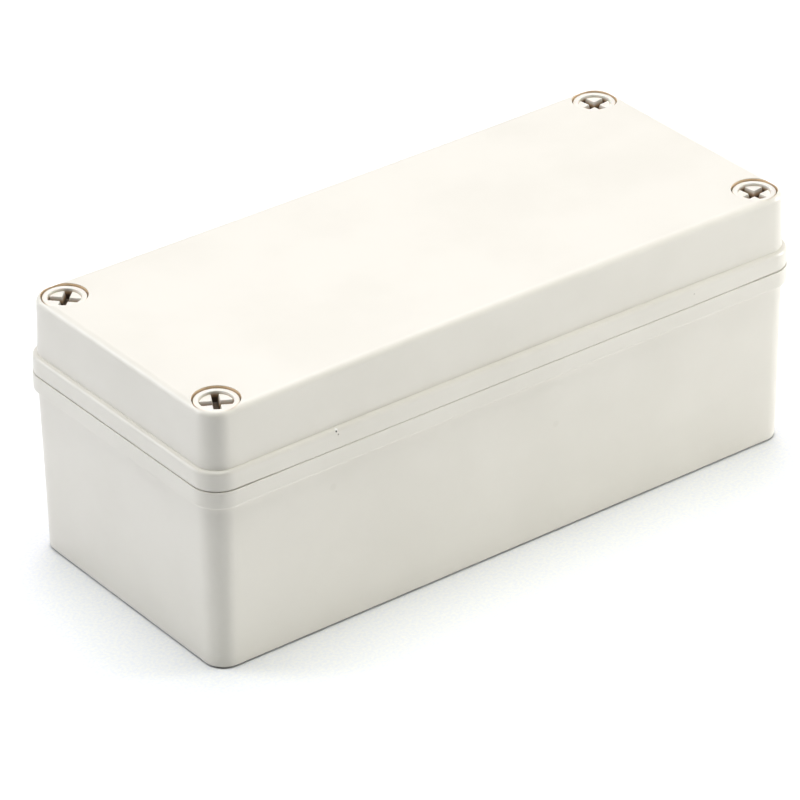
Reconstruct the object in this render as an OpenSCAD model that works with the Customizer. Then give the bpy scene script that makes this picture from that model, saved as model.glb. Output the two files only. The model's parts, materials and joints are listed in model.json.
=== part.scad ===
// Sealed plastic project box: a deep base tub and a shallower lid that meet at two stacked rims.
// Four captive cross-recess screws in corner wells hold the lid down on a gasket.
// X runs along the length, Y across the width and Z up. The origin is the centre of the underside.

/* [Box] */
// Length over the rims
box_l = 179.6; // [164:0.2:240]
// Width over the rims
box_w = 78.6; // [76:0.2:120]
// Height from the underside to the top of the lid
box_h = 70; // [66:1:90]
// Height at which base and lid meet
seam_z = 49.7; // [46:0.1:51]
// Gap left between the two rims by the gasket
seam_gap = 0.24; // [0.1:0.02:0.4]
// Outer corner radius of the base rim
corner_r = 7.3; // [7.2:0.1:9]
// Thickness of the side walls
wall = 2.5; // [2:0.1:3]
// Thickness of the floor and of the lid's top
plate = 2.5; // [2:0.1:3]

/* [Base] */
// How far the base wall stands inside its rim, at the rim
base_inset = 1.15; // [1:0.05:1.6]
// How much further the wall leans in by the time it reaches the floor
base_draft = 0.7; // [0.2:0.05:1]
// Rounding where the walls meet the underside
foot_round = 0.9; // [0.4:0.1:1.5]
// Height of the base rim
base_rim_h = 4.5; // [3:0.1:6]

/* [Lid] */
// How far the lid rim stands inside the base rim
rim_step = 0.2; // [0:0.05:0.3]
// How far the lid wall stands inside its rim, at the rim
lid_inset = 1.2; // [1.2:0.05:1.4]
// How much further the wall leans in by the top
lid_draft = 0.35; // [0.1:0.05:0.6]
// Height of the lid rim
lid_rim_h = 5; // [4:0.1:7]
// Rounding of the lid rim's shoulder
shoulder_round = 1.1; // [0.4:0.1:1.1]
// Rounding of the lid's top edge
top_round = 1.8; // [1:0.1:2.4]

/* [Seal] */
// Distance of the seal's centre line from the edge of the base rim
seal_inset = 3; // [2.8:0.1:3.2]
// Width of the groove in the lid
groove_w = 1.9; // [1.8:0.1:2.2]
// Depth of the groove
groove_d = 4; // [3.6:0.1:4.2]
// Width of the tongue on the base
tongue_w = 1.4; // [1.2:0.1:1.6]
// Height of the gasket pressed into the groove
gasket_h = 1.6; // [1.2:0.1:2]
// Thickness of the lip on the inner side of the groove
lip_t = 1.5; // [1.2:0.1:2]

/* [Lid screws] */
// Distance of the screws from the edges of the base rim
screw_inset = 8.25; // [8.2:0.05:8.6]
// Diameter of the well in the lid that takes a screw head
well_d = 11.6; // [11:0.1:12]
// Diameter of the screw head
head_d = 10.8; // [10.2:0.1:10.9]
// Thickness of the screw head
head_t = 4.5; // [4:0.1:5]
// How far the tight head lies below the lid's top
head_below = 0.5; // [0.15:0.05:1]
// Diameter of the shank between head and thread
shank_d = 4.6; // [4:0.1:5]
// Outer diameter of the thread
thread_d = 6; // [5.6:0.1:6.2]
// Length of thread that engages the base
thread_l = 9.5; // [8:0.1:10]
// Diameter of the round recess in the head
recess_d = 8.2; // [7.6:0.1:8.6]
// Depth of the round recess in the head
recess_h = 0.75; // [0.3:0.05:0.9]
// Width of the arms of the cross recess
cross_w = 1.9; // [1.6:0.1:2.2]
// Depth of the cross recess below the head's face
cross_h = 3.1; // [2:0.1:3.4]
// Diameter of the round core where the arms of the cross meet
core_d = 3.2; // [2.6:0.1:3.6]
// How far each tight screw is turned: front, right, back, left, in degrees
screw_turn = [60, 7, 7, 43]; // [0:1:90]
// Height a screw rises until its ring meets the web
screw_rise = 10; // [9:0.5:10]

/* [Fixing] */
// Distance of the wall-fixing holes from the screws, along the length
fixing_offset = 12; // [11:0.5:14]
// Diameter of the wall-fixing holes through the floor
fixing_d = 4.5; // [4:0.5:5]
// Diameter of the wells above the wall-fixing holes
fixing_well_d = 9.2; // [8.5:0.1:9.4]
// Distance between floor bosses along the length
boss_pitch_x = 100; // [60:1:104]
// Distance between floor bosses across the width
boss_pitch_y = 50; // [30:1:56]
// Diameter of a floor boss
boss_d = 7; // [6:0.5:8]
// Height of a floor boss above the floor
boss_h = 6; // [4:0.5:8]
// Diameter of the pilot hole in a floor boss
pilot_d = 2.5; // [2:0.1:3]

/* [Hidden] */
$fn = 96;

// Corner centres shared by every outline of the box
corner_x = box_l / 2 - corner_r;
corner_y = box_w / 2 - corner_r;
corner_signs = [[-1, -1], [1, -1], [1, 1], [-1, 1]];

// Parting heights
base_top = seam_z - seam_gap / 2;
lid_bottom = seam_z + seam_gap / 2;

// Radii of the outlines about the corner centres
lid_rim_r = corner_r - rim_step;
base_r_top = corner_r - base_inset;
base_r_foot = base_r_top - base_draft;
lid_r_low = lid_rim_r - lid_inset;
lid_r_top = lid_r_low - lid_draft;

// Heights of the rims
base_rim_z = base_top - base_rim_h;
lid_rim_z = lid_bottom + lid_rim_h;
rim_edge = 0.4;
seam_edge = 0.2;

// Seal loop: wall runs, and a notch round each corner's screw and fixing hole
seal_x = box_l / 2 - seal_inset;
seal_y = box_w / 2 - seal_inset;
screw_x = box_l / 2 - screw_inset;
screw_y = box_w / 2 - screw_inset;
fixing_x = screw_x - fixing_offset;
notch_r = 8.35;
notch_edge = 3;
groove_top = lid_bottom + groove_d;
tongue_top = groove_top - gasket_h;
tongue_margin = 0.6;
base_inside = tongue_w / 2 + tongue_margin;
lid_inside = groove_w / 2 + lip_t;
lip_gap = 0.3;
lid_rim_inner_z = groove_top + plate;
gasket_side_gap = 0.05;

// Screws
head_top = box_h - head_below;
head_seat = head_top - head_t;
thread_top = seam_z - 0.2;
thread_end = thread_top - thread_l;
tip_chamfer = 0.8;
bore_gap = 0.05;
bore_end = thread_end - 4.5;
ring_wire = 1.4;
ring_mid_r = shank_d / 2 + 0.1 + ring_wire / 2;
ring_z = lid_bottom + 0.1 + ring_wire / 2;
web_bottom = ring_z + ring_wire / 2 + screw_rise + 0.15;
web_hole_d = thread_d + 0.5;
chamber_d = 2 * ring_mid_r + ring_wire + 0.8;
column_r = well_d / 2 + 1.5;
fixing_seat = 8;
pilot_end = plate + 0.5;
cut = 1;

// Points along an arc
function arc(c, r, from, to, steps) =
    [for (i = [0:steps]) let (a = from + (to - from) * i / steps) c + r * [cos(a), sin(a)]];

// One quarter of the seal loop, moved outwards by d
function seal_quarter(d) = concat(
    arc([seal_x - notch_edge, screw_y - notch_r - notch_edge], notch_edge + d, 0, 90, 6),
    arc([fixing_x, screw_y], notch_r - d, 270, 180, 8),
    arc([fixing_x - notch_r - notch_edge, seal_y - notch_edge], notch_edge + d, 0, 90, 6));

function reversed(points) = [for (i = [len(points) - 1:-1:0]) points[i]];
function flip(points, sx, sy) = [for (p = points) [p[0] * sx, p[1] * sy]];

// The whole loop, anticlockwise from the +X side
function seal_loop(d) = concat(
    seal_quarter(d),
    reversed(flip(seal_quarter(d), -1, 1)),
    flip(seal_quarter(d), -1, -1),
    reversed(flip(seal_quarter(d), 1, -1)));

// A section given as [distance outside the corner centres, height], swept round the box
// and filled in the middle between z0 and z1
module swept(section, z0, z1) {
    for (s = corner_signs)
        mirror([s[0] < 0 ? 1 : 0, 0, 0]) mirror([0, s[1] < 0 ? 1 : 0, 0])
            translate([corner_x, corner_y, 0]) rotate_extrude(angle = 90) polygon(section);
    for (side = [0, 1]) {
        mirror([side, 0, 0]) translate([corner_x, corner_y, 0])
            rotate([90, 0, 0]) linear_extrude(2 * corner_y) polygon(section);
        mirror([0, side, 0]) translate([-corner_x, corner_y, 0])
            rotate([90, 0, 90]) linear_extrude(2 * corner_x) polygon(section);
    }
    translate([-corner_x, -corner_y, z0]) cube([2 * corner_x, 2 * corner_y, z1 - z0]);
}

// A prism on the seal loop moved outwards by d
module seal_prism(d, z0, z1) {
    translate([0, 0, z0]) linear_extrude(z1 - z0) polygon(seal_loop(d));
}

// A closed band that follows the seal loop
module seal_band(width, z0, z1) {
    difference() {
        seal_prism(width / 2, z0, z1);
        seal_prism(-width / 2, z0 - cut, z1 + cut);
    }
}

// Places its children at the four points [+-x, +-y]
module at_corners(x, y) {
    for (s = corner_signs) translate([s[0] * x, s[1] * y, 0]) children();
}

base_section = concat(
    [[0, 0]],
    arc([base_r_foot - foot_round, foot_round], foot_round, -90, 0, 8),
    [[base_r_top, base_rim_z]],
    arc([corner_r - rim_edge, base_rim_z + rim_edge], rim_edge, -90, 0, 5),
    arc([corner_r - seam_edge, base_top - seam_edge], seam_edge, 0, 90, 3),
    [[0, base_top]]);

base_hollow_section = concat(
    [[0, plate]],
    arc([base_r_foot - wall - 1, plate + 1], 1, -90, 0, 5),
    [[base_r_top - wall, base_top + cut], [0, base_top + cut]]);

module base() {
    color("#d9d6cc") difference() {
        union() {
            difference() {
                swept(base_section, 0, base_top);
                intersection() {
                    swept(base_hollow_section, plate, base_top + cut);
                    seal_prism(-base_inside, plate, base_top + cut);
                }
            }
            seal_band(tongue_w, base_top - cut, tongue_top);
            at_corners(boss_pitch_x / 2, boss_pitch_y / 2)
                translate([0, 0, plate - cut]) cylinder(d = boss_d, h = boss_h + cut);
        }
        at_corners(boss_pitch_x / 2, boss_pitch_y / 2)
            translate([0, 0, pilot_end]) cylinder(d = pilot_d, h = boss_h + cut);
        at_corners(screw_x, screw_y)
            translate([0, 0, bore_end]) cylinder(d = thread_d + 2 * bore_gap, h = base_top);
        at_corners(fixing_x, screw_y) {
            translate([0, 0, -cut]) cylinder(d = fixing_d, h = fixing_seat + 2 * cut);
            translate([0, 0, fixing_seat]) cylinder(d = fixing_well_d, h = base_top);
        }
    }
}

lid_section = concat(
    [[0, lid_bottom]],
    arc([lid_rim_r - seam_edge, lid_bottom + seam_edge], seam_edge, -90, 0, 3),
    arc([lid_rim_r - shoulder_round, lid_rim_z - shoulder_round], shoulder_round, 0, 90, 10),
    [[lid_r_low, lid_rim_z]],
    arc([lid_r_top - top_round, box_h - top_round], top_round, 0, 90, 14),
    [[0, box_h]]);

lid_hollow_section = [
    [0, lid_rim_inner_z], [lid_r_low - wall, lid_rim_inner_z],
    [lid_r_top - wall, box_h - plate], [0, box_h - plate]];

module lid() {
    color("#dedbd2") difference() {
        swept(lid_section, lid_bottom, box_h);
        difference() {
            swept(lid_hollow_section, lid_rim_inner_z, box_h - plate);
            at_corners(screw_x, screw_y) cylinder(r = column_r, h = box_h);
        }
        seal_prism(-lid_inside, lid_bottom - cut, lid_rim_inner_z + cut / 2);
        seal_prism(0, lid_bottom - cut, lid_bottom + lip_gap);
        seal_band(groove_w, lid_bottom - cut, groove_top);
        at_corners(screw_x, screw_y) {
            translate([0, 0, head_seat]) cylinder(d = well_d, h = head_t + head_below + cut);
            translate([0, 0, lid_bottom - cut]) cylinder(d = web_hole_d, h = box_h - lid_bottom);
            translate([0, 0, lid_bottom - cut]) cylinder(d = chamber_d, h = web_bottom - lid_bottom + cut);
        }
    }
}

module gasket() {
    color("#3a3a3a") seal_band(groove_w - 2 * gasket_side_gap, tongue_top, groove_top);
}

// One lid screw at corner n: round recess and cross in the head, a reduced shank and a threaded end
module lid_screw(n) {
    spot = corner_signs[n];
    color("#e4e1d8") translate([spot[0] * screw_x, spot[1] * screw_y, 0]) rotate(screw_turn[n]) difference() {
        rotate_extrude() polygon([
            [0, thread_end - tip_chamfer], [thread_d / 2 - tip_chamfer, thread_end - tip_chamfer],
            [thread_d / 2, thread_end], [thread_d / 2, thread_top], [shank_d / 2, thread_top],
            [shank_d / 2, head_seat], [head_d / 2, head_seat],
            [head_d / 2, head_top - seam_edge], [head_d / 2 - seam_edge, head_top], [0, head_top]]);
        translate([0, 0, head_top - recess_h]) cylinder(d = recess_d, h = recess_h + cut);
        translate([0, 0, head_top - cross_h]) cylinder(d = core_d, h = cross_h);
        intersection() {
            union() for (a = [0, 90]) rotate(a)
                translate([-recess_d / 2, -cross_w / 2, head_top - cross_h])
                    cube([recess_d, cross_w, cross_h + cut]);
            cylinder(d = recess_d, h = box_h + cut);
        }
    }
}

// The ring on the shank of the screw at corner n, which keeps it in the lid
module captive_ring(n) {
    spot = corner_signs[n];
    color("#262626") translate([spot[0] * screw_x, spot[1] * screw_y, ring_z])
        rotate_extrude() translate([ring_mid_r, 0]) circle(d = ring_wire);
}

base();
lid();
gasket();
lid_screw(0);  // screw_front
lid_screw(1);  // screw_right
lid_screw(2);  // screw_back
lid_screw(3);  // screw_left
captive_ring(0);  // ring_front
captive_ring(1);  // ring_right
captive_ring(2);  // ring_back
captive_ring(3);  // ring_left
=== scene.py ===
"""Looks of the sealed plastic project box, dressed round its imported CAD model."""
import json
import logging
import math
from collections.abc import Sequence
from dataclasses import dataclass, field
from enum import Enum
from typing import Any

import bmesh
import bpy
from mathutils import Matrix, Vector

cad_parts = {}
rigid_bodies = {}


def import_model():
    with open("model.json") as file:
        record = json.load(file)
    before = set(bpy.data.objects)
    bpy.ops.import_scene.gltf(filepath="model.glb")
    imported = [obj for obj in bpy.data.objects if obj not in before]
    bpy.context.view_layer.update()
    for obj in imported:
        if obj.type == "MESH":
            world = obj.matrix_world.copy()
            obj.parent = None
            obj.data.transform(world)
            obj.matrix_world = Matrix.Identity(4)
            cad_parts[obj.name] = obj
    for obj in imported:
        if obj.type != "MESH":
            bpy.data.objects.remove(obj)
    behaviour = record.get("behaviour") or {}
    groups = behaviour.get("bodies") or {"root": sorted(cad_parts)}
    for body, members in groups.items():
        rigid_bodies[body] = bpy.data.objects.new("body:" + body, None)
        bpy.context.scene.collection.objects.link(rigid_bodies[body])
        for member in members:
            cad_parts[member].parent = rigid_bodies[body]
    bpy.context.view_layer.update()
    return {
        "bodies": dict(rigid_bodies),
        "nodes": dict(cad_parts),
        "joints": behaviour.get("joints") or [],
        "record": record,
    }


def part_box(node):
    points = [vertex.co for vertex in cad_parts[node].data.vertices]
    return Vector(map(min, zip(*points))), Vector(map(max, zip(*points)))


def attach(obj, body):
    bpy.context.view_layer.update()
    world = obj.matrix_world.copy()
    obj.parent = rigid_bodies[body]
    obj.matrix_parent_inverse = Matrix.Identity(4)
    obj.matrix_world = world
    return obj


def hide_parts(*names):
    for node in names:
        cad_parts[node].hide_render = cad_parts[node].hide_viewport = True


LOG = logging.getLogger("project_box")
MM = 0.001
Point = tuple[float, float]
Colour = tuple[float, float, float, float]
Tree = bpy.types.NodeTree
Socket = bpy.types.NodeSocket


class Corner(Enum):
    """The box's corners, as the CAD nodes and bodies name them."""

    FRONT = "front"
    RIGHT = "right"
    BACK = "back"
    LEFT = "left"


class Octaves(Enum):
    """How finely a cloudy pattern is broken up."""

    WAVE = 1.0
    GRAIN = 2.0
    PATCHES = 3.0
    RAGGED = 4.0


# How far the screws stand from the box's middle planes, in millimetres, and each one's turn, in degrees.
SCREW_AXIS = (81.55, 31.05)
SCREW_TURN = {Corner.FRONT: 60.0, Corner.RIGHT: 7.0, Corner.BACK: 7.0, Corner.LEFT: 43.0}


# --------------------------------------------------------------------------- materials


# Most of a cloudy pattern lies between these values.
CLOUD_RANGE = (0.3, 0.7)

# Inputs are numbered where a node has several of one name. A Mix node of colours takes its factor as 0 and
# the colours as 6 and 7, and gives its result as output 2. A Map Range node takes its value as 0, the range
# it comes from as 1 and 2, and the range it goes to as 3 and 4.


def linear(colour: str) -> Colour:
    """Turn an sRGB hex colour into linear values.

    Args:
        colour: Colour as "#rrggbb".

    Returns:
        Red, green, blue and an alpha of 1.
    """
    parts = [int(colour[i : i + 2], 16) / 255 for i in (1, 3, 5)]
    red, green, blue = (c / 12.92 if c <= 0.04045 else ((c + 0.055) / 1.055) ** 2.4 for c in parts)
    return red, green, blue, 1.0


def per_metre(size_mm: float) -> float:
    """Texture scale at which one cell of a pattern measures size_mm."""
    return 1.0 / (size_mm * MM)


def fill(tree: Tree, node: bpy.types.Node, inputs: dict[str | int, Any]) -> None:
    """Give a node its inputs.

    Args:
        tree: Node tree that holds the node.
        node: The node.
        inputs: A value or an output socket for each named or numbered input.
    """
    for name, value in inputs.items():
        if isinstance(value, bpy.types.NodeSocket):
            tree.links.new(value, node.inputs[name])
        else:
            node.inputs[name].default_value = value


def add_node(
    tree: Tree, kind: str, inputs: dict[str | int, Any], output: str | int = 0, **settings: Any
) -> Socket:
    """Add one shader node with its settings, values and links.

    Args:
        tree: Node tree that takes the node.
        kind: Blender's name of the node type.
        inputs: A value or an output socket for each named or numbered input.
        output: Name or number of the output that is wanted.
        **settings: Properties of the node itself.

    Returns:
        That output.
    """
    node = tree.nodes.new(kind)
    for name, value in settings.items():
        setattr(node, name, value)
    fill(tree, node, inputs)
    return node.outputs[output]


def cloud(tree: Tree, at: Socket, size_mm: float, octaves: Octaves, source: Point, target: Point) -> Socket:
    """Add a cloudy pattern, with a part of its range spread over a range of its own.

    Args:
        tree: Node tree that takes the pattern.
        at: Coordinates in metres.
        size_mm: Size of the pattern's patches.
        octaves: How finely it is broken up.
        source: The part of its range, which runs from 0 to 1.
        target: The values at the ends of that part.

    Returns:
        The spread pattern.
    """
    inputs = {"Vector": at, "Scale": per_metre(size_mm), "Detail": octaves.value}
    noise = add_node(tree, "ShaderNodeTexNoise", inputs)
    inputs = {0: noise, 1: source[0], 2: source[1], 3: target[0], 4: target[1]}
    return add_node(tree, "ShaderNodeMapRange", inputs, interpolation_type="SMOOTHSTEP")


def around(tree: Tree, at: Socket, centre: Sequence[float], radii: Point, strength: float = 1.0) -> Socket:
    """Mask a ball.

    Args:
        tree: Node tree that takes the mask.
        at: Coordinates in metres.
        centre: Centre of the ball in millimetres.
        radii: The radii in millimetres between which the mask fades out.
        strength: Its value in the middle.

    Returns:
        The mask.
    """
    inputs = {0: at, 1: tuple(c * MM for c in centre)}
    distance = add_node(tree, "ShaderNodeVectorMath", inputs, "Value", operation="DISTANCE")
    inputs = {0: distance, 1: radii[0] * MM, 2: radii[1] * MM, 3: strength, 4: 0.0}
    return add_node(tree, "ShaderNodeMapRange", inputs, interpolation_type="SMOOTHSTEP")


def around_screws(tree: Tree, at: Socket, radius_mm: float, soft_mm: float) -> Socket:
    """Mask what lies round the axes of the four screws, at any height.

    Args:
        tree: Node tree that takes the mask.
        at: Object coordinates in metres.
        radius_mm: Radius within which the mask is 1.
        soft_mm: How much further out it reaches 0.

    Returns:
        The mask.
    """
    folded = add_node(tree, "ShaderNodeVectorMath", {0: at}, operation="ABSOLUTE")
    flat = add_node(tree, "ShaderNodeVectorMath", {0: folded, 1: (1, 1, 0)}, operation="MULTIPLY")
    return around(tree, flat, (*SCREW_AXIS, 0), (radius_mm, radius_mm + soft_mm))


@dataclass(frozen=True)
class Zone:
    """Heights between which a layer shows. Sizes in millimetres.

    Attributes:
        rise: The heights between which it grows.
        fall: The heights between which it fades out again.
        strength: Its strength between the two.
    """

    rise: Point
    fall: Point
    strength: float

    def mask(self, tree: Tree, height: Socket) -> Socket:
        """Mask the zone.

        Args:
            tree: Node tree that takes the mask.
            height: Height in metres.

        Returns:
            The mask.
        """
        low, high = (
            add_node(
                tree,
                "ShaderNodeMapRange",
                {0: height, 1: edge[0] * MM, 2: edge[1] * MM, 3: start, 4: end},
                interpolation_type="SMOOTHSTEP",
            )
            for edge, start, end in ((self.rise, 0.0, self.strength), (self.fall, 1.0, 0.0))
        )
        return add_node(tree, "ShaderNodeMath", {0: low, 1: high}, operation="MULTIPLY")


@dataclass(frozen=True)
class Mark:
    """A small round mark on a moulded surface. Sizes in millimetres.

    Attributes:
        place: Its centre.
        radius: Its radius.
        colour: Its colour as "#rrggbb".
        strength: How much of the colour shows, from 0 to 1.
        core: Share of the radius within which all of that shows.
    """

    place: tuple[float, float, float]
    radius: float
    colour: str
    strength: float
    core: float = 0.55

    def mask(self, tree: Tree, at: Socket) -> Socket:
        """Mask the mark at the coordinates, which are in metres."""
        return around(tree, at, self.place, (self.radius * self.core, self.radius), self.strength)


@dataclass(frozen=True)
class Finish:
    """A surface finish: what every material here has in common.

    Attributes:
        name: Name of the material.
        slot: The record's material slot. Not used.
        colour: Base colour as "#rrggbb".
        roughness: Mean roughness.
        ior: Index of refraction.
    """

    name: str
    slot: str
    colour: str
    roughness: float
    ior: float = 1.5

    def material(self) -> bpy.types.Material:
        """Build the material.

        Returns:
            The material, which is built only once.
        """
        if self.name in bpy.data.materials:
            return bpy.data.materials[self.name]
        material = bpy.data.materials.new(self.name)
        material.use_nodes = True
        tree = material.node_tree
        at = add_node(tree, "ShaderNodeTexCoord", {}, "Object")
        fill(tree, tree.nodes["Principled BSDF"], {"IOR": self.ior, **self.surface(tree, at)})
        return material

    def surface(self, tree: Tree, at: Socket) -> dict[str, Any]:
        """Make what the surface shows.

        Args:
            tree: The material's node tree.
            at: Object coordinates in metres.

        Returns:
            A value or an output socket for each input of the shader that isn't left at its default.
        """
        raise NotImplementedError

    def layered(self, tree: Tree, layers: Sequence[tuple[Socket, str]]) -> Socket:
        """Lay colours over the base colour.

        Args:
            tree: The material's node tree.
            layers: A mask and a colour for each layer, the lowest first.

        Returns:
            The colour that results.
        """
        under = linear(self.colour)
        for mask, colour in layers:
            inputs = {0: mask, 6: under, 7: linear(colour)}
            under = add_node(tree, "ShaderNodeMix", inputs, 2, data_type="RGBA")
        return under

    def rougher(self, spread: Point) -> Point:
        """Roughnesses that differ from the mean one by the two values of spread."""
        return self.roughness + spread[0], self.roughness + spread[1]


@dataclass(frozen=True)
class MouldedAbs(Finish):
    """Injection-moulded ABS: a satin face with a fine spark-eroded grain, very slightly uneven.

    The colour has a faint mottle and a few small marks, among them a nick drawn in painted highlight and
    painted shade.
    The rims of the screw wells get a painted warm light and a painted glow, standing in for light let through
    their thin walls, and a painted shade darkens the foot where the box meets the floor. Sizes in
    millimetres.

    Attributes:
        mottle: Size of the mottle's patches.
        mottle_range: Part of the cloudy pattern over which they grow.
        mottle_colour: Their colour.
        mottle_strength: How much of it shows.
        marks: The small marks, among them a nick drawn in painted highlight and painted shade.
        well: Radius round each screw within which light is painted on its well.
        well_soft: How much further out the painted light ends.
        painted_well_light_colour: Colour of the painted warm light and of the painted glow.
        painted_well_light: Heights at which painted warm light tints the wall, standing in for light let
            through the thin rim.
        painted_well_glow: Heights at which the rim glows with painted light, though it is no lamp.
        painted_foot_shade_colour: Colour of the painted shade along the foot, where the box meets the floor.
        painted_foot_shade: Heights at which that painted shade lies.
        grain: Size of the grain, drawn coarser than the real one so that it shows.
        grain_depth: Depth of the grain.
        sheen: Size of the patches that are smoother or rougher.
        sheen_spread: How much smoother and rougher they are.
        wave: Distance between the high parts of the uneven face.
        wave_depth: How far the face is uneven.
    """

    mottle: float = 26.0
    mottle_range: Point = (0.35, 0.7)
    mottle_colour: str = "#dcd8ce"
    mottle_strength: float = 0.35
    marks: tuple[Mark, ...] = ()
    well: float = 5.81
    well_soft: float = 0.03
    # Painted light: a warm tint and a glow on the thin rims of the screw wells stand in for light let through
    # them.
    painted_well_light_colour: str = "#e2c298"
    painted_well_light: Zone = Zone((68.3, 69.0), (69.8, 69.9), 0.85)
    painted_well_glow: Zone = Zone((69.25, 69.6), (69.8, 69.9), 0.2)
    # Painted shade: a dark band along the foot stands in for the shadow under the box's edge.
    painted_foot_shade_colour: str = "#4f4b43"
    painted_foot_shade: Zone = Zone((0.03, 0.1), (0.4, 0.62), 0.85)
    grain: float = 0.35
    grain_depth: float = 0.0035
    sheen: float = 3.5
    sheen_spread: Point = (-0.04, 0.05)
    wave: float = 14.0
    wave_depth: float = 0.02

    def surface(self, tree: Tree, at: Socket) -> dict[str, Any]:
        """Lay mottle, marks, painted light on the wells and painted shade on the foot over the colour, make
        the wells' rims glow with painted light, and raise the grain on the uneven face.
        """
        height = add_node(tree, "ShaderNodeSeparateXYZ", {0: at}, "Z")
        # Masks of the painted warm light and the painted glow on the rims of the screw wells.
        well = around_screws(tree, at, self.well, self.well_soft)
        painted_light_mask, painted_glow_mask = (
            add_node(tree, "ShaderNodeMath", {0: well, 1: zone.mask(tree, height)}, operation="MULTIPLY")
            for zone in (self.painted_well_light, self.painted_well_glow)
        )
        sheen = self.rougher(self.sheen_spread)
        patches = (0.0, self.mottle_strength)
        layers = [
            (cloud(tree, at, self.mottle, Octaves.PATCHES, self.mottle_range, patches), self.mottle_colour),
            *((mark.mask(tree, at), mark.colour) for mark in self.marks),
            # Painted warm light on the wells' rims.
            (painted_light_mask, self.painted_well_light_colour),
            # Painted shade along the foot.
            (self.painted_foot_shade.mask(tree, height), self.painted_foot_shade_colour),
        ]
        normal = {}
        for size, octaves, depth in (
            (self.wave, Octaves.WAVE, self.wave_depth),
            (self.grain, Octaves.GRAIN, self.grain_depth),
        ):
            inputs = {"Vector": at, "Scale": per_metre(size), "Detail": octaves.value}
            raised = {"Height": add_node(tree, "ShaderNodeTexNoise", inputs), "Distance": depth * MM}
            normal = {"Normal": add_node(tree, "ShaderNodeBump", {**raised, **normal, "Strength": 1.0})}
        return {
            "Base Color": self.layered(tree, layers),
            "Roughness": cloud(tree, at, self.sheen, Octaves.RAGGED, CLOUD_RANGE, sheen),
            # Painted glow: the wells' rims give off light, though they are no lamp.
            "Emission Color": linear(self.painted_well_light_colour),
            "Emission Strength": painted_glow_mask,
            **normal,
        }


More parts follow.
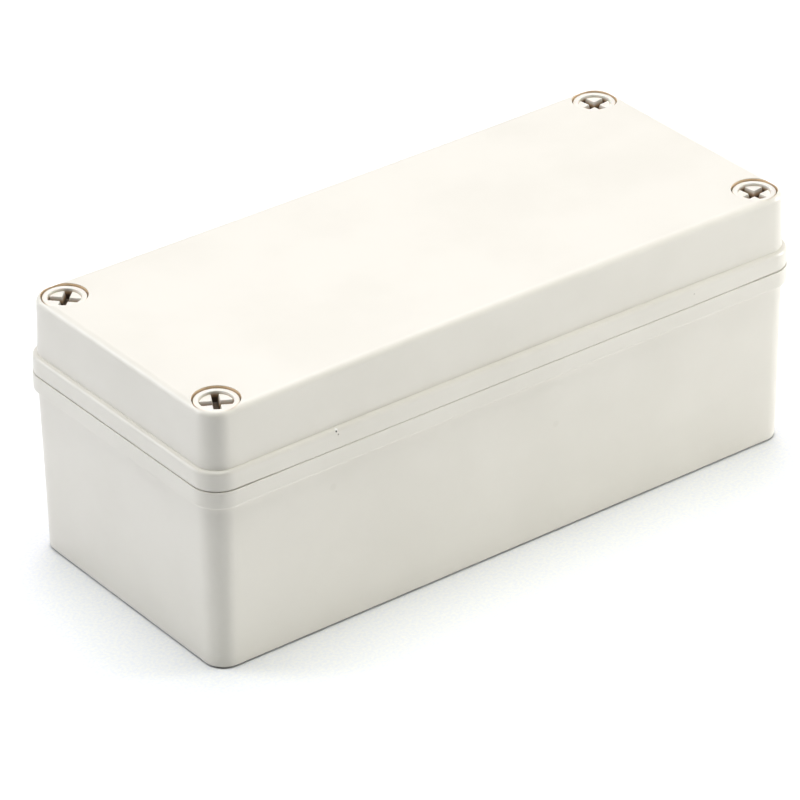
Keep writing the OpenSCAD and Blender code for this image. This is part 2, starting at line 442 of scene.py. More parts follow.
@dataclass(frozen=True)
class ScrewNylon(Finish):
    """Moulded nylon of the lid screws: a little translucent and cloudy, with painted shade deep in the
    recess.

    Sizes in millimetres.

    Attributes:
        clouds: Size of the cloudy patches.
        cloud_range: Part of the cloudy pattern over which they grow.
        cloud_colour: Their colour.
        cloud_strength: How much of it shows.
        face: Height of the tight screws' faces.
        recess: Radius of the recess, within which the painted shade lies.
        recess_soft: How much further out the painted shade ends.
        floor: Depths below the face between which the painted shade ends, so that the shank stays free of it.
        recess_shades: Colours of the painted shade, each with the depths below the face between which it
            grows.
        wall: Width of the painted shade on the wall of the recess.
        wall_soft: Width over which it blends into that on the floor.
        wall_rise: How much higher it stands there.
        translucency: Share of the light that is scattered inside.
        scatter: How far that light travels.
        grain: Size of the grain, drawn coarser than the real one so that it shows.
        grain_depth: Depth of the grain.
        sheen_spread: How much smoother and rougher the grain makes the face.
    """

    clouds: float = 4.0
    cloud_range: Point = (0.35, 0.65)
    cloud_colour: str = "#e2ded6"
    cloud_strength: float = 0.5
    face: float = 69.5
    recess: float = 4.2
    recess_soft: float = 0.1
    floor: Point = (3.5, 3.3)
    # Painted shade: colours that darken the recess further down, standing in for the shade that falls into
    # it.
    recess_shades: tuple[tuple[str, Point], ...] = (("#b89a78", (1.0, 2.0)), ("#4d4034", (1.6, 2.7)))
    wall: float = 0.3
    wall_soft: float = 0.15
    wall_rise: float = 0.75
    translucency: float = 0.05
    scatter: float = 0.5
    grain: float = 0.2
    grain_depth: float = 0.002
    sheen_spread: Point = (-0.03, 0.06)

    def surface(self, tree: Tree, at: Socket) -> dict[str, Any]:
        """Lay clouds and painted shade over the colour, and let a fine grain change roughness and height."""
        patches = (0.0, self.cloud_strength)
        clouds = cloud(tree, at, self.clouds, Octaves.PATCHES, self.cloud_range, patches)
        inputs = {"Vector": at, "Scale": per_metre(self.grain), "Detail": Octaves.GRAIN.value}
        grain = add_node(tree, "ShaderNodeTexNoise", inputs)
        smooth, rough = self.rougher(self.sheen_spread)
        inputs = {0: grain, 1: CLOUD_RANGE[0], 2: CLOUD_RANGE[1], 3: smooth, 4: rough}
        raised = {"Height": grain, "Distance": self.grain_depth * MM, "Strength": 1.0}
        return {
            "Base Color": self.layered(tree, [(clouds, self.cloud_colour), *self.painted_recess_shade(tree, at)]),
            "Roughness": add_node(tree, "ShaderNodeMapRange", inputs, interpolation_type="SMOOTHSTEP"),
            "Subsurface Weight": self.translucency,
            "Subsurface Scale": self.scatter * MM,
            "Normal": add_node(tree, "ShaderNodeBump", raised),
        }

    def painted_recess_shade(self, tree: Tree, at: Socket) -> list[tuple[Socket, str]]:
        """Make the painted shade in the recess, which lies deep on its floor and climbs its wall.

        Args:
            tree: The material's node tree.
            at: Object coordinates in metres.

        Returns:
            A mask and a colour for each layer of painted shade.
        """
        height = add_node(tree, "ShaderNodeSeparateXYZ", {0: at}, "Z")
        low, high = ((self.face - depth) * MM for depth in self.floor)
        inputs = {0: height, 1: low, 2: high, 3: 0.0, 4: 1.0}
        clear = add_node(tree, "ShaderNodeMapRange", inputs, interpolation_type="SMOOTHSTEP")
        recess = around_screws(tree, at, self.recess, self.recess_soft)
        within = add_node(tree, "ShaderNodeMath", {0: recess, 1: clear}, operation="MULTIPLY")
        middle = around_screws(tree, at, self.recess - self.wall, self.wall_soft)
        inputs = {0: middle, 1: 0.0, 2: 1.0, 3: -self.wall_rise * MM, 4: 0.0}
        drop = add_node(tree, "ShaderNodeMapRange", inputs, interpolation_type="SMOOTHSTEP")
        level = add_node(tree, "ShaderNodeMath", {0: height, 1: drop}, operation="ADD")
        # Each layer darkens the recess further down: painted shade.
        recess_shades = []
        for colour, depths in self.recess_shades:
            high, low = ((self.face - depth) * MM for depth in depths)
            inputs = {0: level, 1: low, 2: high, 3: 1.0, 4: 0.0}
            deep = add_node(tree, "ShaderNodeMapRange", inputs, interpolation_type="SMOOTHSTEP")
            recess_shade = add_node(tree, "ShaderNodeMath", {0: within, 1: deep}, operation="MULTIPLY")
            recess_shades.append((recess_shade, colour))
        return recess_shades


@dataclass(frozen=True)
class FoamRubber(Finish):
    """Black foam rubber of the gasket: a dull skin with open pores, with painted shade inside them. Sizes in
    millimetres.

    Attributes:
        pore: Size of the pores.
        pore_range: Part of each cell, from its middle outwards, over which the skin rises.
        pore_depth: Depth of the pores.
        painted_pore_shade_colour: Colour of the painted shade inside them.
        dust: Size of the patches that dust makes rougher.
        dust_spread: How much smoother and rougher it makes the skin.
    """

    pore: float = 0.35
    pore_range: Point = (0.15, 0.45)
    pore_depth: float = 0.04
    # Painted shade: the pores are darker where the skin sinks into them.
    painted_pore_shade_colour: str = "#131313"
    dust: float = 5.0
    dust_spread: Point = (-0.08, 0.06)

    def surface(self, tree: Tree, at: Socket) -> dict[str, Any]:
        """Sink the pores into the skin, paint shade into them, and let dust change the roughness."""
        inputs = {"Vector": at, "Scale": per_metre(self.pore)}
        cells = add_node(tree, "ShaderNodeTexVoronoi", inputs, "Distance", feature="F1")
        inputs = {0: cells, 1: self.pore_range[0], 2: self.pore_range[1], 3: 0.0, 4: 1.0}
        skin = add_node(tree, "ShaderNodeMapRange", inputs, interpolation_type="SMOOTHSTEP")
        # Painted shade in the pores, darker where the skin sinks.
        colours = {0: skin, 6: linear(self.painted_pore_shade_colour), 7: linear(self.colour)}
        dusty = self.rougher(self.dust_spread)
        raised = {"Height": skin, "Distance": self.pore_depth * MM, "Strength": 1.0}
        return {
            "Base Color": add_node(tree, "ShaderNodeMix", colours, 2, data_type="RGBA"),
            "Roughness": cloud(tree, at, self.dust, Octaves.RAGGED, CLOUD_RANGE, dusty),
            "Normal": add_node(tree, "ShaderNodeBump", raised),
        }


@dataclass(frozen=True)
class NitrileRubber(Finish):
    """Moulded nitrile rubber of the captive rings: smooth and black, with a grey bloom. Sizes in millimetres.

    Attributes:
        bloom: Size of the bloom's patches.
        bloom_range: Part of the cloudy pattern over which they grow.
        bloom_colour: Their colour.
        bloom_strength: How much of it shows.
        bloom_roughness: How much rougher they are.
        wave: Distance between the high parts of the uneven face.
        wave_depth: How far the face is uneven.
    """

    bloom: float = 1.2
    bloom_range: Point = (0.4, 0.7)
    bloom_colour: str = "#3b3a38"
    bloom_strength: float = 0.6
    bloom_roughness: float = 0.2
    wave: float = 0.3
    wave_depth: float = 0.004

    def surface(self, tree: Tree, at: Socket) -> dict[str, Any]:
        """Lay the bloom over colour and roughness, and make the face uneven."""
        patches = (0.0, self.bloom_strength)
        bloom = cloud(tree, at, self.bloom, Octaves.RAGGED, self.bloom_range, patches)
        smooth, rough = self.rougher((0.0, self.bloom_roughness))
        dulled = {0: bloom, 1: 0.0, 2: self.bloom_strength, 3: smooth, 4: rough}
        inputs = {"Vector": at, "Scale": per_metre(self.wave), "Detail": Octaves.GRAIN.value}
        wave = add_node(tree, "ShaderNodeTexNoise", inputs)
        raised = {"Height": wave, "Distance": self.wave_depth * MM, "Strength": 1.0}
        return {
            "Base Color": self.layered(tree, [(bloom, self.bloom_colour)]),
            "Roughness": add_node(tree, "ShaderNodeMapRange", dulled, interpolation_type="SMOOTHSTEP"),
            "Normal": add_node(tree, "ShaderNodeBump", raised),
        }


@dataclass(frozen=True)
class WhiteSweep(Finish):
    """Matt white paper under the object, with a faint tooth.

    Attributes:
        tooth_mm: Size of the tooth.
        tooth_colour: Its lighter colour.
    """

    tooth_mm: float = 0.8
    tooth_colour: str = "#fafaf8"

    def surface(self, tree: Tree, at: Socket) -> dict[str, Any]:
        """Lay the tooth over the colour, without any gloss."""
        tooth = cloud(tree, at, self.tooth_mm, Octaves.PATCHES, CLOUD_RANGE, (0.0, 1.0))
        return {
            "Base Color": self.layered(tree, [(tooth, self.tooth_colour)]),
            "Roughness": self.roughness,
            "Specular IOR Level": 0.0,
        }


# --------------------------------------------------------------------------- mesh helpers


def arc(centre: Point, radius: float, start: float, end: float, steps: int) -> list[Point]:
    """Points on an arc from start to end, in degrees."""
    turns = (math.radians(start + (end - start) * i / steps) for i in range(steps + 1))
    return [(centre[0] + radius * math.cos(t), centre[1] + radius * math.sin(t)) for t in turns]


# Vertices of a turned part that lie nearer than this are one, in millimetres.
MERGE_MM = 0.001

# How strongly the larger faces set the shading round an edge.
FACE_WEIGHT = 80


def spin_profile(
    shape: bmesh.types.BMesh, profile: Sequence[Point], steps: int, closed: bool = False
) -> None:
    """Spin a profile of (radius, height) points round the Z axis.

    Args:
        shape: Mesh that takes the surface, in millimetres.
        profile: The points in order. An open profile starts and ends on the axis.
        steps: Number of steps in the full turn.
        closed: Whether the last point joins the first.
    """
    verts = [shape.verts.new((radius, 0, height)) for radius, height in profile]
    pairs = list(zip(verts, verts[1:]))
    if closed:
        pairs.append((verts[-1], verts[0]))
    edges = [shape.edges.new(pair) for pair in pairs]
    bmesh.ops.spin(
        shape, geom=verts + edges, cent=(0, 0, 0), axis=(0, 0, 1), angle=math.tau, steps=steps, use_merge=True
    )
    bmesh.ops.remove_doubles(shape, verts=shape.verts[:], dist=MERGE_MM)


def loft(shape: bmesh.types.BMesh, loops: Sequence[Sequence[Vector]]) -> list[list[bmesh.types.BMVert]]:
    """Join closed loops of equally many points into one solid with flat ends.

    Args:
        shape: Mesh that takes the solid.
        loops: The loops in order.

    Returns:
        The new vertices, loop by loop.
    """
    rings = [[shape.verts.new(point) for point in loop] for loop in loops]
    for low, high in zip(rings, rings[1:]):
        for i in range(len(low)):
            shape.faces.new((low[i - 1], low[i], high[i], high[i - 1]))
    shape.faces.new(list(reversed(rings[0])))
    shape.faces.new(rings[-1])
    return rings


def break_edges(
    shape: bmesh.types.BMesh, edges: Sequence[bmesh.types.BMEdge], width: float, segments: int = 2
) -> None:
    """Round sharp edges.

    Args:
        shape: Mesh that holds them.
        edges: The edges.
        width: Width of the rounding, in the mesh's unit.
        segments: Number of faces across it.
    """
    bmesh.ops.bevel(
        shape,
        geom=list(edges),
        offset=width,
        offset_type="OFFSET",
        segments=segments,
        profile=0.5,
        affect="EDGES",
        clamp_overlap=True,
        material=-1,
    )


def add_piece(
    name: str, shape: bmesh.types.BMesh, scale: float, place: Matrix, crisp_deg: float
) -> bpy.types.Object:
    """Turn a mesh into a smooth-shaded object at the origin, with its place in its vertices.

    Args:
        name: Name of the new object.
        shape: The mesh, which is freed.
        scale: Metres for each unit of the mesh.
        place: Where the scaled mesh goes.
        crisp_deg: Edges sharper than this stay crisp.

    Returns:
        The new object.
    """
    shape.transform(place @ Matrix.Scale(scale, 4))
    bmesh.ops.recalc_face_normals(shape, faces=shape.faces[:])
    for face in shape.faces:
        face.smooth = True
    mesh = bpy.data.meshes.new(name)
    shape.to_mesh(mesh)
    shape.free()
    mesh.set_sharp_from_angle(angle=math.radians(crisp_deg))
    piece = bpy.data.objects.new(name, mesh)
    bpy.context.scene.collection.objects.link(piece)
    weighted = piece.modifiers.new("weighted_normals", "WEIGHTED_NORMAL")
    weighted.keep_sharp = True
    weighted.weight = FACE_WEIGHT
    return piece


def hand_over(piece: bpy.types.Object, finish: Finish, body: str, node: str) -> None:
    """Give a piece its finish, let it ride on its body, and let it stand for its CAD node.

    Args:
        piece: The piece.
        finish: Its finish.
        body: Name of its body.
        node: Name of its CAD node.
    """
    piece.data.materials.append(finish.material())
    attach(piece, body)
    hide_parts(node)
    LOG.info("%s has %d faces", piece.name, len(piece.data.polygons))


# --------------------------------------------------------------------------- shells and seal


@dataclass
class MouldedShell:
    """A moulded shell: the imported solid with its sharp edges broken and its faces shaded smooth.

    Attributes:
        node: Name of its CAD node.
        body: Name of the body it rides on.
        finish: Its finish.
        edge_mm: Width by which sharp edges are broken.
        sharp_deg: Edges sharper than this are broken.
        flat_deg: Faces that meet at less than this are joined.
        crisp_deg: Edges sharper than this stay crisp in the shading.
    """

    node: str
    body: str
    finish: Finish
    edge_mm: float = 0.12
    sharp_deg: float = 50.0
    flat_deg: float = 0.1
    crisp_deg: float = 32.0

    def build(self, frame: dict[str, Any]) -> bpy.types.Object:
        """Build the shell from its node.

        Args:
            frame: The loaded frame.

        Returns:
            The dressed shell.
        """
        shape = bmesh.new()
        shape.from_mesh(frame["nodes"][self.node].data)
        bmesh.ops.remove_doubles(shape, verts=shape.verts[:], dist=MERGE_MM * MM)
        flat = math.radians(self.flat_deg)
        bmesh.ops.dissolve_limit(shape, angle_limit=flat, verts=shape.verts[:], edges=shape.edges[:])
        limit = math.radians(self.sharp_deg)
        sharp = [e for e in shape.edges if e.is_manifold and e.calc_face_angle() > limit]
        break_edges(shape, sharp, self.edge_mm * MM)
        self.shape_further(shape)
        piece = add_piece(f"{self.node}_shell", shape, 1.0, Matrix.Identity(4), self.crisp_deg)
        hand_over(piece, self.finish, self.body, self.node)
        return piece

    def shape_further(self, shape: bmesh.types.BMesh) -> None:
        """Change the mesh before it becomes an object. A plain shell keeps it."""


@dataclass(frozen=True)
class Band:
    """A band of a shell's outer skin that bows inwards between the corners. Sizes in millimetres.

    Attributes:
        low: Height of its lower edge.
        high: Height of its upper edge.
        bow: How far the middle of a long side stands inwards.
        skin: How deep under the outermost face the skin reaches.
    """

    low: float
    high: float
    bow: float
    skin: float


@dataclass
class BowedShell(MouldedShell):
    """A shell whose long walls bow inwards a little, as moulded walls do when they cool.

    Attributes:
        bands: The bands that bow.
        droop_mm: How far the free lower edge droops in the middle of a long side, and on towards +X.
        free_mm: Height of that edge.
        droop_growth: How much faster than the bow the droop grows from the corners at -X.
        droop_power: How steeply it ends at the corners at +X.
        corner_mm: Length at each end of a wall that is left to the corner and stays straight.
        cut_step_mm: Distance between the cuts that let the walls bend.
        on_cut_mm: Vertices nearer to a cut than this are taken to lie on it.
    """

    bands: tuple[Band, ...] = ()
    droop_mm: float = 0.0
    free_mm: float = 0.0
    droop_growth: float = 2.2
    droop_power: int = 12
    corner_mm: float = 9.0
    cut_step_mm: float = 11.0
    on_cut_mm: float = 0.0005

    def shape_further(self, shape: bmesh.types.BMesh) -> None:
        """Cut the shell across every few millimetres and bend it."""
        high = [max(vert.co[axis] for vert in shape.verts) for axis in (0, 1)]
        near = self.on_cut_mm * MM
        for reach, normal in zip(high, (Vector((1, 0, 0)), Vector((0, 1, 0)))):
            straight = reach - self.corner_mm * MM
            count = round(straight / (self.cut_step_mm * MM))
            for i in range(-count, count + 1):
                plane = normal * (straight * i / count)
                geom = shape.verts[:] + shape.edges[:] + shape.faces[:]
                bmesh.ops.bisect_plane(shape, geom=geom, dist=near, plane_co=plane, plane_no=normal)
        for vert in shape.verts:
            self.bend(vert, high)

    def bend(self, vert: bmesh.types.BMVert, high: Sequence[float]) -> None:
        """Move one vertex of the outer skin inwards, and droop it where its edge is free.

        Args:
            vert: The vertex.
            high: Half the length and half the width of the shell.
        """
        height = vert.co.z / MM
        band = next((b for b in self.bands if b.low <= height < b.high), None)
        if band is None:
            return
        for axis, other in ((0, 1), (1, 0)):
            if abs(vert.co[axis]) < high[axis] - band.skin * MM:
                continue
            along = min(1.0, abs(vert.co[other]) / (high[other] - self.corner_mm * MM))
            bowed = 1.0 - along**2
            drooped = min(1.0, self.droop_growth * bowed)
            if vert.co[other] > 0:
                drooped = 1.0 - along**self.droop_power
            length = (high[other] / max(high)) ** 2
            vert.co[axis] -= math.copysign(band.bow * MM * bowed * length, vert.co[axis])
            if height < self.free_mm:
                vert.co.z -= self.droop_mm * MM * drooped * length


# --------------------------------------------------------------------------- lid screws


@dataclass
class LidScrew:
    """A captive lid screw: recessed cross head, plain shank and a coarse thread. Sizes in millimetres.

    The cross is what four pads leave open in a round recess. The pads widen towards their feet.

    Attributes:
        corner: The corner it stands in.
        finish: Its finish.
        head_radius: Radius of the head.
        head_height: Height of the head.
        head_edge: Rounding of the head's upper edges.
        seat_edge: Rounding of its lower edge.
        recess_radius: Radius of the recess.
        recess_taper: How much narrower its floor is.
        cross_depth: Depth of its floor.
        pad_depth: Depth of the pads' tops.
        pad_edge: Rounding of the tops' edges.
        arm_width: Width of the cross's arms between the tops.
        core_radius: Distance of the tops from the axis.
        foot_gap: Width of the arms between the feet.
        foot_core: Distance of the feet from the axis.
        wall_bite: How far the pads go into the wall round them.
        floor_bite: How far they go into the floor.
        shank_radius: Radius of the shank.
        fillet: Rounding between head and shank.
        tip_length: Length of the cone at the tip.
        tip_inset: How far inside the shank the rounding of the tip's edge has its centre.
        tip_edge: Radius of that rounding.
        thread_radius: Outer radius of the thread.
        thread_length: Length of the threaded part.
        thread_pitch: Height of one turn.
        thread_start: Height of the thread's first end above the cone.
        ridge_bite: How far the ridge's foot goes into the shank.
        ridge_foot: Half the width of its foot.
        ridge_crest: Half the width of its crest.
        ridge_edge: Width of the bevel along the crest.
        crest_flat: Share of the crest that is flat.
        least_foot: Share of the foot's width that is left where the ridge has run out.
        least_ridge: Share of the ridge's height that is left there.
        steps: Steps round the turned body.
        thread_steps: Sections of the ridge in one turn.
        run_out: Number of them over which each end runs out.
        crisp_deg: Edges sharper than this stay crisp in the shading.
    """

    corner: Corner
    finish: Finish
    head_radius: float = 5.4
    head_height: float = 4.5
    head_edge: float = 0.25
    seat_edge: float = 0.15
    recess_radius: float = 4.1
    recess_taper: float = 0.1
    cross_depth: float = 3.1
    pad_depth: float = 0.75
    pad_edge: float = 0.14
    arm_width: float = 1.9
    core_radius: float = 1.5
    foot_gap: float = 0.9
    foot_core: float = 0.7
    wall_bite: float = 0.12
    floor_bite: float = 0.1
    shank_radius: float = 2.3
    fillet: float = 0.2
    tip_length: float = 0.8
    tip_inset: float = 0.9
    tip_edge: float = 0.3
    thread_radius: float = 3.0
    thread_length: float = 9.5
    thread_pitch: float = 2.0
    thread_start: float = 0.6
    ridge_bite: float = 0.1
    ridge_foot: float = 0.55
    ridge_crest: float = 0.14
    ridge_edge: float = 0.06
    crest_flat: float = 0.4
    least_foot: float = 0.4
    least_ridge: float = 0.02
    steps: int = 72
    thread_steps: int = 36
    run_out: int = 12
    crisp_deg: float = 38.0

    def build(self) -> bpy.types.Object:
        """Build the screw in its corner.

        Returns:
            The dressed screw.
        """
        node = f"screw_{self.corner.value}"
        low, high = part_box(node)
        length = (high.z - low.z) / MM
        shape = bmesh.new()
        spin_profile(shape, self.profile(length), self.steps)
        for quarter in range(4):
            self.add_pad(shape, quarter)
        self.add_thread(shape, length)
        middle = (low + high) / 2
        place = Matrix.Translation((middle.x, middle.y, high.z))
        place = place @ Matrix.Rotation(math.radians(SCREW_TURN[self.corner]), 4, "Z")
        piece = add_piece(f"lid_screw_{self.corner.value}", shape, MM, place, self.crisp_deg)
        hand_over(piece, self.finish, f"{self.corner.value}_screw", node)
        return piece

    def profile(self, length: float) -> list[Point]:
        """Draw the outline of the turned body.

        Args:
            length: Length of the whole screw.

        Returns:
            The outline from the tip to the recess's floor, as (radius, height above the head's face).
        """
        seat = -self.head_height
        outer, inner, shank = self.head_radius, self.recess_radius, self.shank_radius
        edge, seat_edge, fillet = self.head_edge, self.seat_edge, self.fillet
        return [
            (0, -length),
            *arc((shank - self.tip_inset, -length + self.tip_edge), self.tip_edge, -90, -45, 2),
            (shank, -length + self.tip_length),
            *arc((shank + fillet, seat - fillet), fillet, 180, 90, 3),
            *arc((outer - seat_edge, seat + seat_edge), seat_edge, -90, 0, 3),
            *arc((outer - edge, -edge), edge, 0, 90, 5),
            *arc((inner + edge, -edge), edge, 90, 180, 5),
            *arc((inner - self.recess_taper - edge, edge - self.cross_depth), edge, 0, -90, 3),
            (0, -self.cross_depth),
        ]

    def pad_outline(self, half_arm: float, core: float, height: float) -> list[Vector]:
        """Draw the outline of a pad at one height.

        Args:
            half_arm: Half the width of the arms beside it.
            core: Its distance from the axis.
            height: The height.

        Returns:
            The outline, out along the wall and back round the core.
        """
        outer = self.recess_radius + self.wall_bite
        turn_in = math.degrees(math.asin(half_arm / core))
        turn_out = math.degrees(math.asin(half_arm / outer))
        along_wall = arc((0, 0), outer, turn_out, 90 - turn_out, 10)
        round_core = arc((0, 0), core, 90 - turn_in, turn_in, 4)
        return [Vector((x, y, height)) for x, y in along_wall + round_core]

    def add_pad(self, shape: bmesh.types.BMesh, quarter: int) -> None:
        """Stand one pad in the recess, wider at its foot so that the cross tapers with depth.

        Args:
            shape: Mesh that takes the pad.
            quarter: Which quarter of the recess it stands in.
        """
        part = bmesh.new()
        foot = self.pad_outline(self.foot_gap / 2, self.foot_core, -self.cross_depth - self.floor_bite)
        top = self.pad_outline(self.arm_width / 2, self.core_radius, -self.pad_depth)
        top_verts = set(loft(part, [foot, top])[-1])
        rim = [edge for edge in part.edges if set(edge.verts) <= top_verts]
        break_edges(part, rim, self.pad_edge, 3)
        part.transform(Matrix.Rotation(math.radians(90 * quarter), 4, "Z"))
        mesh = bpy.data.meshes.new("pad")
        part.to_mesh(mesh)
        part.free()
        shape.from_mesh(mesh)
        bpy.data.meshes.remove(mesh)

    def add_thread(self, shape: bmesh.types.BMesh, length: float) -> None:
        """Wind the thread's ridge round the end of the shank.

        Args:
            shape: Mesh that takes the ridge.
            length: Length of the whole screw.
        """
        turns = (self.thread_length - self.thread_pitch / 2) / self.thread_pitch
        count = round(turns * self.thread_steps)
        start = -length + self.tip_length + self.thread_start
        loops = []
        for i in range(count + 1):
            angle = math.tau * turns * i / count
            rise = start + self.thread_pitch * turns * i / count
            taper = min(1.0, i / self.run_out, (count - i) / self.run_out)
            loops.append(self.ridge_section(angle, rise, max(taper, self.least_ridge)))
        loft(shape, loops)

    def ridge_section(self, angle: float, rise: float, taper: float) -> list[Vector]:
        """Draw the section of the thread's ridge at one angle.

        Args:
            angle: The angle round the axis, in radians.
            rise: Height of the section's middle.
            taper: Share of the ridge's height that is left there.

        Returns:
            The section's corners from below upwards.
        """
        foot = self.shank_radius - self.ridge_bite
        crest = foot + (self.thread_radius - foot) * taper
        foot_width = self.ridge_foot * (self.least_foot + (1.0 - self.least_foot) * taper)
        upper = [
            (crest, self.ridge_crest * self.crest_flat),
            (crest - self.ridge_edge, self.ridge_crest),
            (foot, foot_width),
        ]
        section = [(radius, -height) for radius, height in reversed(upper)] + upper
        return [Vector((r * math.cos(angle), r * math.sin(angle), rise + z)) for r, z in section]


@dataclass
class CaptiveRing:
    """The rubber ring on a screw's shank, which keeps the screw in the lid.

    Attributes:
        corner: The corner it stands in.
        finish: Its finish.
        wire_steps: Steps round its round section.
        steps: Steps round its axis.
        crisp_deg: Edges sharper than this stay crisp in the shading.
    """

    corner: Corner
    finish: Finish
    wire_steps: int = 20
    steps: int = 48
    crisp_deg: float = 60.0

    def build(self) -> bpy.types.Object:
        """Build the ring from the box of its CAD node.

        Returns:
            The dressed ring.
        """
        node = f"ring_{self.corner.value}"
        low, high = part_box(node)
        wire = (high.z - low.z) / MM / 2
        radius = (high.x - low.x) / MM / 2 - wire
        shape = bmesh.new()
        profile = arc((radius, 0), wire, 0, 360, self.wire_steps)[:-1]
        spin_profile(shape, profile, self.steps, closed=True)
        place = Matrix.Translation((low + high) / 2)
        piece = add_piece(f"captive_ring_{self.corner.value}", shape, MM, place, self.crisp_deg)
        hand_over(piece, self.finish, f"{self.corner.value}_ring", node)
        return piece


# --------------------------------------------------------------------------- studio


@dataclass(frozen=True)
class Softbox:
    """A square area lamp that looks at the box.

    Attributes:
        name: Its name.
        place: Where it hangs, in metres.
        size: Side of its face, in metres.
        power: Its power in watts.
        colour: Its colour as "#rrggbb".
        aim: The point it looks at, in metres.
    """

    name: str
    place: tuple[float, float, float]
    size: float
    power: float
    colour: str = "#ffffff"
    aim: tuple[float, float, float] = (0.0, 0.0, 0.03)

    def hang(self) -> None:
        """Add the lamp to the scene."""
        data = bpy.data.lights.new(self.name, "AREA")
        data.size = self.size
        data.energy = self.power
        data.color = linear(self.colour)[:3]
        lamp = bpy.data.objects.new(self.name, data)
        lamp.location = self.place
        away = Vector(self.place) - Vector(self.aim)
        lamp.rotation_euler = away.to_track_quat("Z", "Y").to_euler()
        bpy.context.scene.collection.objects.link(lamp)


@dataclass(frozen=True)
class Camera:
    """The camera, given by its direction round the box and its distance from it.

    Attributes:
        azimuth: Degrees round the box, 0 looking along +Y.
        elevation: Degrees above the horizon.
        roll: Degrees of roll.
        distance: Metres from the point it aims at.
        aim_height: Height of that point.
        focal: Focal length in millimetres.
        sensor: Width of the sensor in millimetres.
        shift: Sideways and upward shift of the picture.
        reach: Metres beyond which nothing is seen.
    """

    azimuth: float = -37.25
    elevation: float = 30.04
    roll: float = -0.68
    distance: float = 1.1885
    aim_height: float = 0.035
    focal: float = 217.42
    sensor: float = 36.0
    shift: Point = (-0.02138, -0.0426)
    reach: float = 20.0

    def place(self) -> None:
        """Add the camera to the scene."""
        az, el, roll = (math.radians(a) for a in (self.azimuth, self.elevation, self.roll))
        back = Vector((math.sin(az) * math.cos(el), -math.cos(az) * math.cos(el), math.sin(el)))
        right = (-back).cross(Vector((0, 0, 1))).normalized()
        up = right.cross(-back)
        across = right * math.cos(roll) + up * math.sin(roll)
        upward = up * math.cos(roll) - right * math.sin(roll)
        data = bpy.data.cameras.new("camera")
        data.sensor_width = self.sensor
        data.lens = self.focal
        data.shift_x, data.shift_y = self.shift
        data.clip_end = self.reach
        camera = bpy.data.objects.new("camera", data)
        spot = Vector((0, 0, self.aim_height)) + back * self.distance
        turn = Matrix((across, upward, back)).transposed().to_4x4()
        camera.matrix_world = Matrix.Translation(spot) @ turn
        bpy.context.scene.collection.objects.link(camera)
        bpy.context.scene.camera = camera


@dataclass
class Studio:
    """White sweep, soft lamps, a dim room and the camera.

    Attributes:
        camera: The camera.
        lamps: The lamps.
        room_light: Strength of the room's own light.
        sweep_size: Half the side of the sweep, in metres.
        sweep: Finish of the sweep.
    """

    camera: Camera = field(default_factory=Camera)
    lamps: tuple[Softbox, ...] = (
        Softbox("top_softbox", (0.0, 0.0, 1.3), 1.0, 18.5, "#fafcf9"),
        Softbox("back_softbox", (0.45, 0.6, 1.0), 0.7, 3.0, "#f5eaff"),
        Softbox("left_softbox", (-1.0, 1.0, 0.5), 0.7, 7.6, "#f5f8ff"),
        Softbox("high_left_softbox", (-0.8, 0.8, 0.95), 0.6, 2.2),
        Softbox("right_softbox", (0.85, -0.45, 0.2), 0.35, 6.2, "#fffffb"),
    )
    room_light: float = 0.005
    sweep_size: float = 6.0
    sweep: Finish = WhiteSweep("white_sweep", "stage", "#f1f3f8", 1.0)

    def build(self) -> None:
        """Set the stage."""
        self.camera.place()
        for lamp in self.lamps:
            lamp.hang()
        self.light_room()
        self.lay_sweep()
        bpy.context.scene.view_settings.view_transform = "Standard"

    def light_room(self) -> None:
        """Give the room a little light of its own."""
        world = bpy.data.worlds.new("room")
        bpy.context.scene.world = world
        world.use_nodes = True
        background = world.node_tree.nodes["Background"]
        background.inputs["Color"].default_value = (1, 1, 1, 1)
        background.inputs["Strength"].default_value = self.room_light

    def lay_sweep(self) -> None:
        """Lay the white sweep as the floor."""
        shape = bmesh.new()
        bmesh.ops.create_grid(shape, x_segments=1, y_segments=1, size=self.sweep_size)
        mesh = bpy.data.meshes.new("sweep")
        shape.to_mesh(mesh)
        shape.free()
        floor = bpy.data.objects.new("sweep", mesh)
        mesh.materials.append(self.sweep.material())
        bpy.context.scene.collection.objects.link(floor)


# --------------------------------------------------------------------------- the box


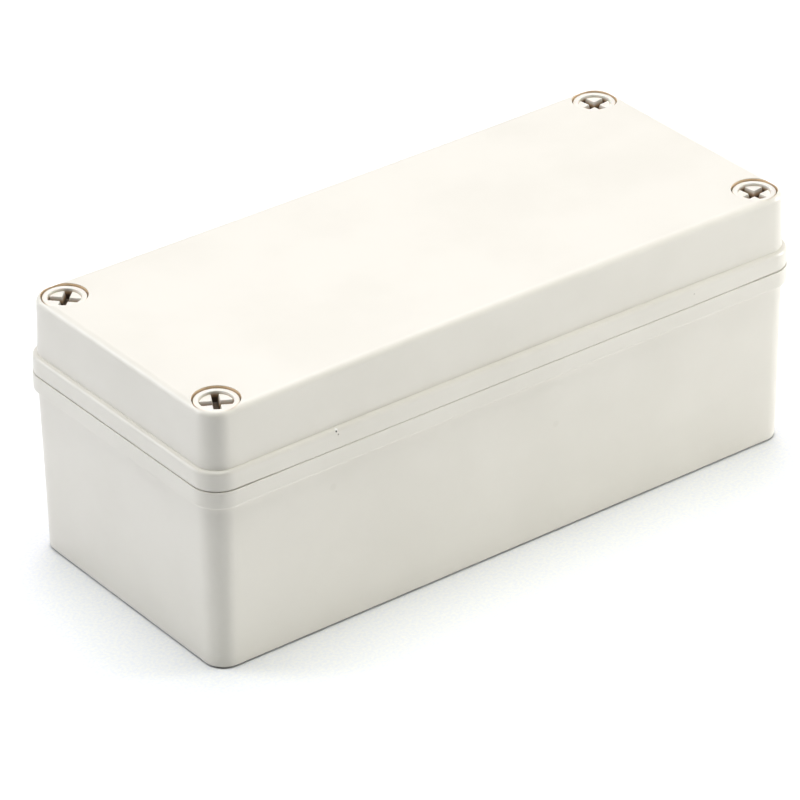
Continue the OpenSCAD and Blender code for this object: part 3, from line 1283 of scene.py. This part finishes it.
# A nick in the lid's rim, drawn as a painted highlight on its burr and painted shade in its hollow and just
# below it, a speck further along, and two faint spots on the base.
SHELL_MARKS = (
    # Painted highlight on the nick's burr.
    Mark((-53.2, -38.5, 54.5), 0.45, "#fffefa", 1.0),
    # Painted shade in the nick's hollow.
    Mark((-53.4, -38.8, 54.2), 0.3, "#2b261f", 1.0),
    # Painted shade where the nick runs down.
    Mark((-52.9, -39.0, 53.3), 0.3, "#8f897c", 0.8),
    Mark((55.8, -39.1, 52.8), 0.35, "#8a8273", 0.3),
    Mark((-54.0, -37.9, 38.8), 1.2, "#c9c4b8", 0.15),
    Mark((13.3, -37.9, 31.0), 1.1, "#c9c4b8", 0.15),
)

# The foot of the base, its corners and the tongue stay straight.
BASE_BANDS = (Band(5.0, 25.0, 0.12, 2.4), Band(25.0, 45.0, 0.2, 2.4), Band(45.0, 49.7, 0.25, 1.5))
LID_BANDS = (Band(49.7, 54.7, 0.2, 1.5), Band(54.7, 70.1, 0.5, 3.6))


@dataclass
class ProjectBox:
    """The whole box: two shells, the seal between them and four captive screws.

    Attributes:
        shell: Finish of the base and the lid.
        nylon: Finish of the screws.
        foam: Finish of the gasket.
        nitrile: Finish of the rings on the screws.
    """

    shell: Finish = MouldedAbs("moulded_abs", "shell_abs", "#e6e2d9", 0.33, 1.53, marks=SHELL_MARKS)
    nylon: Finish = ScrewNylon("screw_nylon", "screw_plastic", "#eae6de", 0.33, 1.53)
    foam: Finish = FoamRubber("foam_rubber", "seal_rubber", "#2a2a2a", 0.86)
    nitrile: Finish = NitrileRubber("nitrile_rubber", "ring_rubber", "#141414", 0.42, 1.52)

    def build(self, frame: dict[str, Any]) -> None:
        """Build every piece of the box.

        Args:
            frame: The loaded frame.
        """
        lid_form = {"bands": LID_BANDS, "droop_mm": 0.22, "free_mm": 50.2, "edge_mm": 0.07}
        BowedShell("base", "base", self.shell, bands=BASE_BANDS).build(frame)
        BowedShell("lid", "lid", self.shell, **lid_form).build(frame)
        MouldedShell("gasket", "lid", self.foam, edge_mm=0.35).build(frame)
        for corner in Corner:
            LidScrew(corner, self.nylon).build()
            CaptiveRing(corner, self.nitrile).build()


def main() -> None:
    """Load the frame, dress the box and set the stage."""
    logging.basicConfig(level=logging.INFO, format="%(name)s: %(message)s")
    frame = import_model()
    ProjectBox().build(frame)
    Studio().build()


if __name__ == "__main__":
    main()
